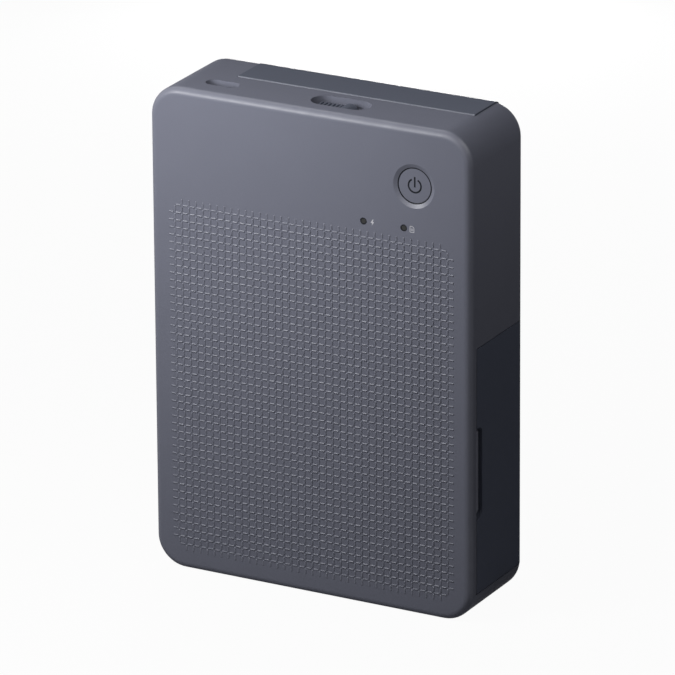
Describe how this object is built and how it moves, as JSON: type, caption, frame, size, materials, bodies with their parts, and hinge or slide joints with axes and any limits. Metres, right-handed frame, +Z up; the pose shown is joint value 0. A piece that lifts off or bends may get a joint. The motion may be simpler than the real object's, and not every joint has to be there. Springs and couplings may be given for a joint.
{
  "type": "compact photo printer",
  "caption": "Pocket photo printer standing on end, with rounded case, power button, slide-latched rear paper cover, side ink door, and a geared roller, head and ribbon print engine.",
  "frame": {"origin": "middle of the base the printer stands on", "axes": "+Z up, +X to the right seen from the front, +Y from the front face to the back"},
  "size_m": [0.1022, 0.033, 0.1458],
  "materials": {
    "shell_grey": "matte, fine grain",
    "cover_grey": "matte, fine grain",
    "inner_grey": "moulded",
    "gear_white": "natural",
    "lens": "smoked",
    "lamp": "clear",
    "board": "solder resist",
    "battery": "wrapped",
    "ribbon": "coated film",
    "cork": "cork",
    "rubber": "matte",
    "steel": "plated",
    "aluminium": "extruded"
  },
  "bodies": {
    "case": {"main_shell": "shell_grey", "back_plate": "shell_grey", "rear_feet": "rubber", "back_screws": "steel", "cover_hinge_pin": "steel", "door_hinge_pin": "steel", "status_lenses": "lens", "status_lamps": "lamp", "circuit_board": "board", "board_screws": "steel", "tact_switch": "steel", "charge_port": "steel", "battery_pack": "battery", "paper_tray": "inner_grey", "side_plate_left": "steel", "side_plate_right": "steel", "gear_cover": "steel", "drive_motor": "steel", "pickup_motor": "steel", "ink_cassette": "inner_grey", "ribbon_film": "ribbon"},
    "cover": {"paper_cover": "cover_grey", "cover_feet": "rubber", "plate_spring": "steel"},
    "press_plate": {"pressure_plate": "inner_grey", "friction_pad": "cork"},
    "door": {"ink_door": "cover_grey"},
    "button": {"power_button": "shell_grey"},
    "slider": {"slide_knob": "cover_grey", "latch_bar": "gear_white"},
    "platen": {"platen_roller": "rubber", "platen_gear": "gear_white"},
    "exit_roll": {"exit_roller": "rubber", "exit_gear": "gear_white"},
    "pinch_roll": {"pinch_roller": "rubber"},
    "pickup_roll": {"pickup_roller": "inner_grey", "pickup_tyre": "rubber", "pickup_gear": "gear_white"},
    "idler_a": {"idler_gear_a": "gear_white"},
    "idler_b": {"idler_gear_b": "gear_white"},
    "takeup": {"takeup_gear": "gear_white", "takeup_spool": "ribbon"},
    "supply": {"supply_spool": "ribbon"},
    "drive_rotor": {"drive_pinion": "gear_white"},
    "pickup_rotor": {"pickup_pinion": "gear_white"},
    "head": {"thermal_head": "aluminium", "head_heatsink": "aluminium"}
  },
  "joints": [
    {"name": "cover_hinge", "type": "hinge", "parent": "case", "child": "cover", "pos_m": [0.0058, 0.0142, 0.057], "axis": [-1, 0, 0], "range_deg": [0, 90]},
    {"name": "plate_hinge", "type": "hinge", "parent": "cover", "child": "press_plate", "pos_m": [0.0058, 0.0115, 0.134], "axis": [-1, 0, 0], "range_deg": [0, 3], "stiffness_Nm_per_rad": 0.3},
    {"name": "door_hinge", "type": "hinge", "parent": "case", "child": "door", "pos_m": [0.0481, 0.0132, 0.045], "axis": [0, 0, 1], "range_deg": [0, 90]},
    {"name": "button_press", "type": "slide", "parent": "case", "child": "button", "axis": [0, 1, 0], "range_m": [0, 0.0006], "stiffness_N_per_m": 800},
    {"name": "cover_release", "type": "slide", "parent": "case", "child": "slider", "axis": [1, 0, 0], "range_m": [0, 0.0035], "stiffness_N_per_m": 200},
    {"name": "head_pivot", "type": "hinge", "parent": "case", "child": "head", "pos_m": [0.0042, -0.002, 0.0566], "axis": [1, 0, 0], "range_deg": [0, 12], "stiffness_Nm_per_rad": 0.3},
    {"name": "platen_spin", "type": "hinge", "parent": "case", "child": "platen", "pos_m": [0.001, 0.0085, 0.045], "axis": [1, 0, 0], "continuous": true},
    {"name": "drive_spin", "type": "hinge", "parent": "case", "child": "drive_rotor", "pos_m": [-0.04, 0.0045, 0.05193], "axis": [1, 0, 0], "continuous": true},
    {"name": "idler_a_spin", "type": "hinge", "parent": "case", "child": "idler_a", "pos_m": [-0.04, 0.00089, 0.03777], "axis": [1, 0, 0], "continuous": true},
    {"name": "takeup_spin", "type": "hinge", "parent": "case", "child": "takeup", "pos_m": [0.001, -0.00475, 0.0255], "axis": [1, 0, 0], "continuous": true},
    {"name": "idler_b_spin", "type": "hinge", "parent": "case", "child": "idler_b", "pos_m": [-0.04, 0.00273, 0.01677], "axis": [1, 0, 0], "continuous": true},
    {"name": "exit_spin", "type": "hinge", "parent": "case", "child": "exit_roll", "pos_m": [0.001, 0.007, 0.01], "axis": [1, 0, 0], "continuous": true},
    {"name": "pinch_spin", "type": "hinge", "parent": "case", "child": "pinch_roll", "pos_m": [0.001, 0.0011, 0.01], "axis": [1, 0, 0], "continuous": true},
    {"name": "supply_spin", "type": "hinge", "parent": "case", "child": "supply", "pos_m": [0.001, -0.00475, 0.0665], "axis": [1, 0, 0], "continuous": true},
    {"name": "pickup_spin", "type": "hinge", "parent": "case", "child": "pickup_roll", "pos_m": [0.001, 0.001, 0.088], "axis": [1, 0, 0], "continuous": true},
    {"name": "pickup_motor_spin", "type": "hinge", "parent": "case", "child": "pickup_rotor", "pos_m": [-0.04, 0.0055, 0.08021], "axis": [1, 0, 0], "continuous": true}
  ],
  "couplings": [
    {"joint": "drive_spin", "follows": "platen_spin", "ratio": -1.6667},
    {"joint": "idler_a_spin", "follows": "platen_spin", "ratio": -0.90909},
    {"joint": "takeup_spin", "follows": "platen_spin", "ratio": 0.625},
    {"joint": "idler_b_spin", "follows": "platen_spin", "ratio": -1.4286},
    {"joint": "exit_spin", "follows": "platen_spin", "ratio": 1.1111},
    {"joint": "pinch_spin", "follows": "platen_spin", "ratio": -1.3333},
    {"joint": "supply_spin", "follows": "platen_spin", "ratio": 0.41667},
    {"joint": "pickup_motor_spin", "follows": "pickup_spin", "ratio": -2}
  ]
}
